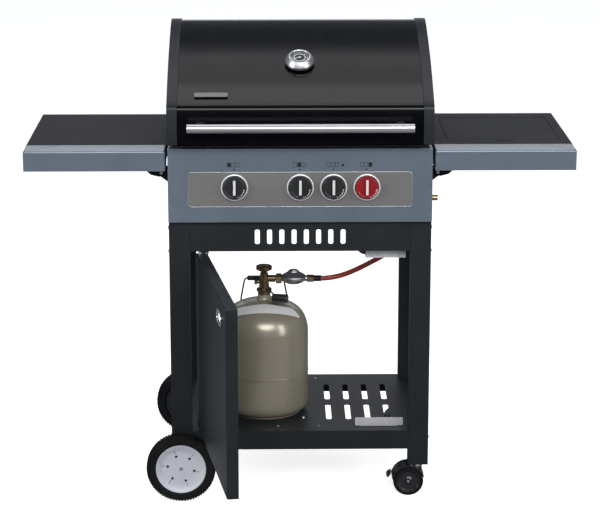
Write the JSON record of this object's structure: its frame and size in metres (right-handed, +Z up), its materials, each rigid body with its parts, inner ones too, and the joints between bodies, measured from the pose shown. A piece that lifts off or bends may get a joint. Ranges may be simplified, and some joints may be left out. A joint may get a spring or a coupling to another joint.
{
  "type": "gas barbecue grill",
  "caption": "Wheeled gas barbecue with hinged hood, control knobs, folding side shelves, side burner, open cabinet door and gas cylinder.",
  "frame": {"origin": "on the floor, under the middle of the whole object as it stands with its door open", "axes": "+X towards the cook's right hand, the side burner's side; +Y from the control panel to the back; +Z up"},
  "size_m": [1.36, 1.0466, 1.1785],
  "materials": {
    "anthracite_paint": "satin",
    "blue_grey_metallic": "satin metallic",
    "shelf_grey": "satin",
    "gloss_enamel": "gloss",
    "satin_black": "satin",
    "brushed_steel": "brushed",
    "chrome": "polished",
    "zinc": "satin",
    "brass": "satin",
    "cast_iron": "matt",
    "black_plastic": "satin",
    "red_plastic": "gloss",
    "tyre_rubber": "matt",
    "hub_grey": "satin",
    "cylinder_beige": "satin",
    "hose_red": "matt"
  },
  "bodies": {
    "root": {"leg_front_left": "anthracite_paint", "leg_front_right": "anthracite_paint", "leg_rear_left": "anthracite_paint", "leg_rear_right": "anthracite_paint", "front_beam": "anthracite_paint", "rear_beam": "anthracite_paint", "bottom_shelf": "anthracite_paint", "side_panel_left": "anthracite_paint", "side_panel_right": "anthracite_paint", "control_panel": "blue_grey_metallic", "firebox": "satin_black", "control_inset": "brushed_steel", "burner_left": "brushed_steel", "burner_middle": "brushed_steel", "burner_right": "brushed_steel", "flame_tamers": "brushed_steel", "warming_rack": "chrome", "wheel_axle": "zinc", "door_hinge_rod": "zinc", "door_catch_top": "zinc", "door_catch_bottom": "zinc", "regulator": "zinc", "gas_manifold": "brass", "cylinder_valve": "brass", "cylinder_handle": "black_plastic", "gas_cylinder": "cylinder_beige", "gas_hose": "hose_red"},
    "lid": {"lid_skin": "gloss_enamel", "lid_side_left": "satin_black", "lid_side_right": "satin_black", "lid_handle": "chrome", "thermometer": "chrome"},
    "door": {"door_panel": "anthracite_paint", "door_grip_ring": "chrome"},
    "knob_1": {"knob_1": "black_plastic"},
    "knob_2": {"knob_2": "black_plastic"},
    "knob_3": {"knob_3": "black_plastic"},
    "knob_4": {"knob_4": "red_plastic"},
    "shelf_left": {"shelf_top_left": "shelf_grey", "shelf_fascia_left": "blue_grey_metallic"},
    "shelf_right": {"shelf_top_right": "shelf_grey", "shelf_fascia_right": "blue_grey_metallic", "side_burner_bowl": "satin_black", "side_burner_head": "cast_iron", "side_burner_grid": "cast_iron"},
    "burner_lid": {"side_burner_lid": "shelf_grey"},
    "grease_tray": {"grease_tray": "zinc"},
    "grate": {"cooking_grate": "cast_iron"},
    "griddle": {"griddle_plate": "cast_iron"},
    "wheel_front": {"tyre_front": "tyre_rubber", "wheel_disc_front": "hub_grey"},
    "wheel_rear": {"tyre_rear": "tyre_rubber", "wheel_disc_rear": "hub_grey"},
    "caster_front": {"caster_hood_front": "black_plastic"},
    "caster_rear": {"caster_hood_rear": "black_plastic"},
    "caster_front_wheel": {"caster_wheel_front": "black_plastic"},
    "caster_rear_wheel": {"caster_wheel_rear": "black_plastic"},
    "pedal_front": {"caster_brake_front": "black_plastic"},
    "pedal_rear": {"caster_brake_rear": "black_plastic"},
    "handwheel": {"valve_handwheel": "brass"}
  },
  "joints": [
    {"name": "lid_hinge", "type": "hinge", "parent": "root", "child": "lid", "pos_m": [0, 0.4463, 0.938], "axis": [-1, 0, 0], "range_deg": [0, 90]},
    {"name": "door_hinge", "type": "hinge", "parent": "root", "child": "door", "pos_m": [-0.25, -0.0111, 0.4], "axis": [0, 0, 1], "range_deg": [-15, 81]},
    {"name": "knob_1_turn", "type": "hinge", "parent": "root", "child": "knob_1", "pos_m": [-0.162, -0.0385, 0.809], "axis": [0, -1, 0], "range_deg": [0, 180]},
    {"name": "knob_2_turn", "type": "hinge", "parent": "root", "child": "knob_2", "pos_m": [0, -0.0385, 0.809], "axis": [0, -1, 0], "range_deg": [0, 180]},
    {"name": "knob_3_turn", "type": "hinge", "parent": "root", "child": "knob_3", "pos_m": [0.082, -0.0385, 0.809], "axis": [0, -1, 0], "range_deg": [0, 180]},
    {"name": "knob_4_turn", "type": "hinge", "parent": "root", "child": "knob_4", "pos_m": [0.164, -0.0385, 0.809], "axis": [0, -1, 0], "range_deg": [0, 180]},
    {"name": "shelf_left_fold", "type": "hinge", "parent": "root", "child": "shelf_left", "pos_m": [-0.345, 0.2343, 0.829], "axis": [0, -1, 0], "range_deg": [0, 90]},
    {"name": "shelf_right_fold", "type": "hinge", "parent": "root", "child": "shelf_right", "pos_m": [0.345, 0.2343, 0.829], "axis": [0, 1, 0], "range_deg": [0, 90]},
    {"name": "side_burner_lid_hinge", "type": "hinge", "parent": "shelf_right", "child": "burner_lid", "pos_m": [0.5135, 0.4123, 0.899], "axis": [-1, 0, 0], "range_deg": [0, 100]},
    {"name": "grease_tray_slide", "type": "slide", "parent": "root", "child": "grease_tray", "axis": [0, 1, 0], "range_m": [0, 0.28]},
    {"name": "grate_lift", "type": "slide", "parent": "root", "child": "grate", "axis": [0, 0, 1], "range_m": [0, 0.06]},
    {"name": "griddle_lift", "type": "slide", "parent": "root", "child": "griddle", "axis": [0, 0, 1], "range_m": [0, 0.06]},
    {"name": "wheel_front_spin", "type": "hinge", "parent": "root", "child": "wheel_front", "pos_m": [-0.302, -0.0452, 0.0875], "axis": [0, 1, 0], "continuous": true},
    {"name": "wheel_rear_spin", "type": "hinge", "parent": "root", "child": "wheel_rear", "pos_m": [-0.302, 0.5018, 0.0875], "axis": [0, 1, 0], "continuous": true},
    {"name": "caster_front_swivel", "type": "hinge", "parent": "root", "child": "caster_front", "pos_m": [0.3, -0.0001, 0.081], "axis": [0, 0, 1], "continuous": true},
    {"name": "caster_front_spin", "type": "hinge", "parent": "caster_front", "child": "caster_front_wheel", "pos_m": [0.276, -0.0001, 0.0385], "axis": [0, 1, 0], "continuous": true},
    {"name": "caster_front_brake", "type": "hinge", "parent": "caster_front", "child": "pedal_front", "pos_m": [0.2355, -0.0001, 0.0555], "axis": [0, -1, 0], "range_deg": [0, 12]},
    {"name": "caster_rear_swivel", "type": "hinge", "parent": "root", "child": "caster_rear", "pos_m": [0.3, 0.4439, 0.081], "axis": [0, 0, 1], "continuous": true},
    {"name": "caster_rear_spin", "type": "hinge", "parent": "caster_rear", "child": "caster_rear_wheel", "pos_m": [0.276, 0.4439, 0.0385], "axis": [0, 1, 0], "continuous": true},
    {"name": "caster_rear_brake", "type": "hinge", "parent": "caster_rear", "child": "pedal_rear", "pos_m": [0.2355, 0.4439, 0.0555], "axis": [0, -1, 0], "range_deg": [0, 12]},
    {"name": "handwheel_turn", "type": "hinge", "parent": "root", "child": "handwheel", "pos_m": [-0.0905, 0.1703, 0.55], "axis": [0, 0, 1], "range_deg": [0, 540]}
  ]
}
